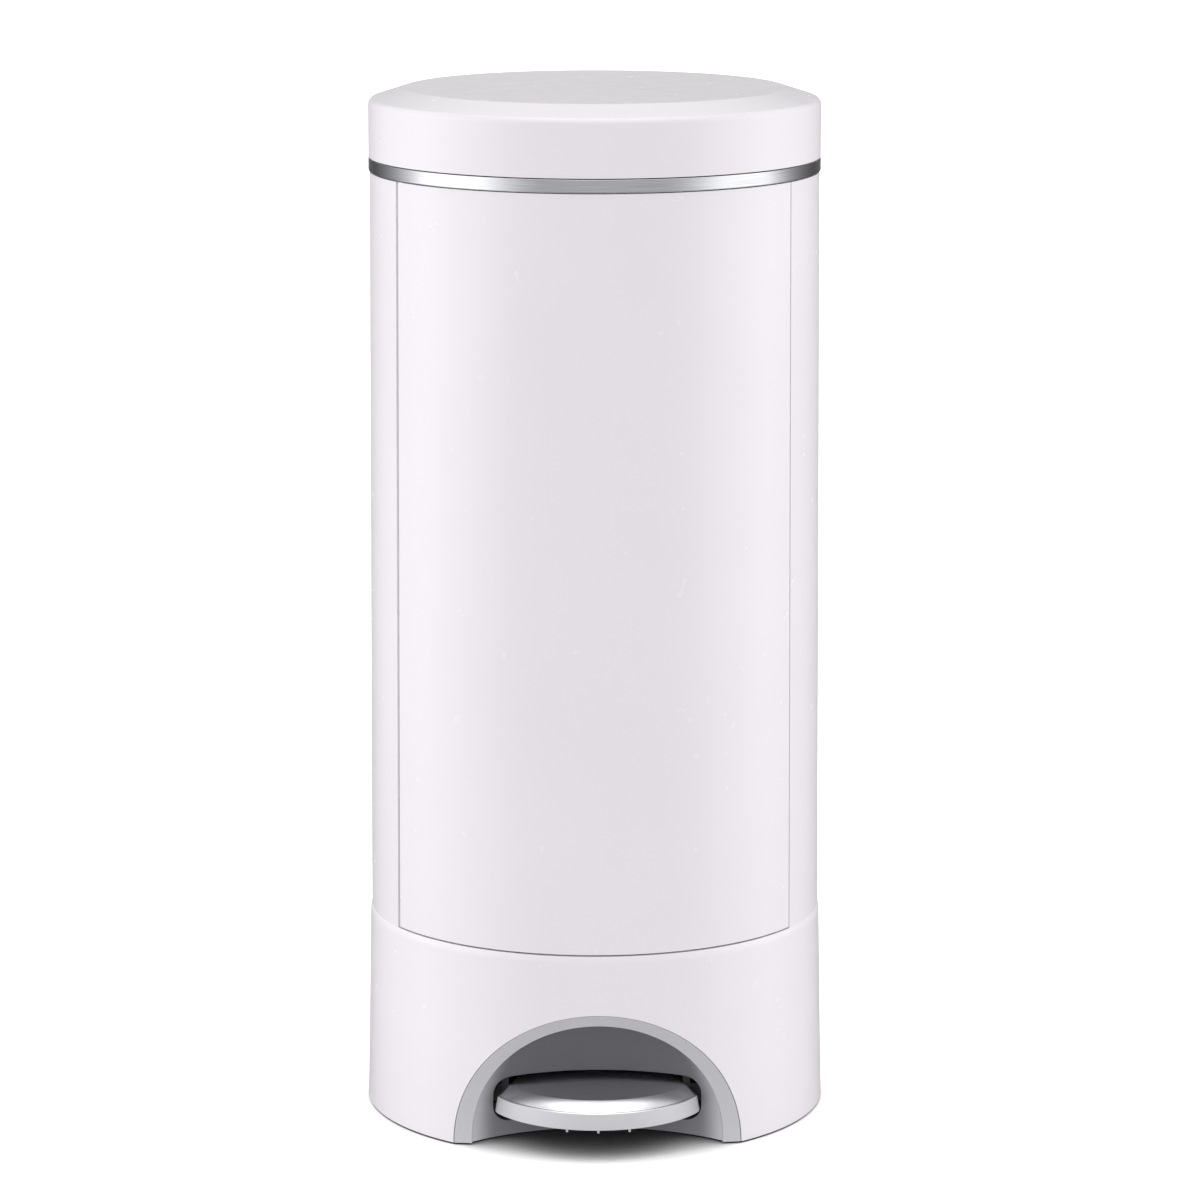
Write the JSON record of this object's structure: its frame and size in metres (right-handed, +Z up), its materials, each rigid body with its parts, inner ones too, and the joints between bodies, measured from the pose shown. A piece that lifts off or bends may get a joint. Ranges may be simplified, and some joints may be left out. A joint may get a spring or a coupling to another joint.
{
  "type": "step-on nappy bin",
  "caption": "Round step-on nappy bin: white body with a front door, silver trim ring, flat hinged lid, and a silver pedal under a bezelled arch in the base.",
  "frame": {"origin": "centre of the footprint, on the floor under the feet", "axes": "+Z up, -Y towards the pedal and the door, +X to the right as seen from the front"},
  "size_m": [0.321, 0.338, 0.7132],
  "materials": {
    "body_plastic": "gloss white, moulded",
    "bezel_plastic": "satin silver-grey",
    "pedal_plastic": "silver metallic paint",
    "ring_metal": "brushed",
    "inner_plastic": "satin grey",
    "lever_plastic": "matte dark grey",
    "steel": "zinc plated",
    "rubber": "matte",
    "magnet": "sintered ferrite",
    "film_plastic": "translucent blue"
  },
  "bodies": {
    "bin": {"base_housing": "body_plastic", "pedal_well": "bezel_plastic", "base_plate": "inner_plastic", "rubber_feet": "rubber", "base_screws": "steel", "pedal_pivot_pin": "steel", "rod_cover": "inner_plastic", "body_shell": "body_plastic", "body_screws": "steel", "door_magnet": "magnet", "top_collar": "body_plastic", "trim_ring": "ring_metal", "hinge_bracket": "body_plastic", "lid_hinge_pin": "steel", "hopper": "inner_plastic", "flap_pins": "steel", "cassette_shelf": "inner_plastic", "film_cassette": "film_plastic"},
    "pedal": {"pedal_cover": "pedal_plastic", "pedal_lever": "lever_plastic", "rod_drive_pin": "steel"},
    "push_rod": {"push_rod": "steel"},
    "lid": {"lid_cover": "body_plastic", "lid_liner": "body_plastic", "lid_seal": "rubber", "lid_hinge_arm": "inner_plastic", "crank_pin": "steel", "lid_screws": "steel"},
    "door": {"door_panel": "body_plastic", "door_hinge_pins": "steel", "door_strike": "steel", "film_cutter": "lever_plastic", "cutter_blade": "steel"},
    "flap_left": {"flap_left": "inner_plastic", "spring_left": "steel"},
    "flap_right": {"flap_right": "inner_plastic", "spring_right": "steel"}
  },
  "joints": [
    {"name": "lid_open", "type": "hinge", "parent": "bin", "child": "lid", "pos_m": [0, 0.163, 0.668], "axis": [-1, 0, 0], "range_deg": [0, 75]},
    {"name": "pedal_press", "type": "hinge", "parent": "bin", "child": "pedal", "pos_m": [0, -0.04, 0.032], "axis": [1, 0, 0], "range_deg": [0, 7.54]},
    {"name": "rod_lift", "type": "slide", "parent": "bin", "child": "push_rod", "axis": [0, 0, 1], "range_m": [0, 0.02435]},
    {"name": "door_open", "type": "hinge", "parent": "bin", "child": "door", "pos_m": [-0.13276, -0.07883, 0.1407], "axis": [-0.0047, -0.0028, -1], "range_deg": [0, 100]},
    {"name": "flap_left_drop", "type": "hinge", "parent": "bin", "child": "flap_left", "pos_m": [-0.099, 0, 0.5999], "axis": [0, 1, 0], "range_deg": [0, 80], "stiffness_Nm_per_rad": 0.05, "springref_deg": -80.21},
    {"name": "flap_right_drop", "type": "hinge", "parent": "bin", "child": "flap_right", "pos_m": [0.099, 0, 0.5999], "axis": [0, -1, 0], "range_deg": [0, 80], "stiffness_Nm_per_rad": 0.05, "springref_deg": -80.21}
  ],
  "couplings": [
    {"joint": "pedal_press", "follows": "lid_open", "ratio": 0.10059},
    {"joint": "rod_lift", "follows": "lid_open", "m_per_rad": 0.018602}
  ]
}
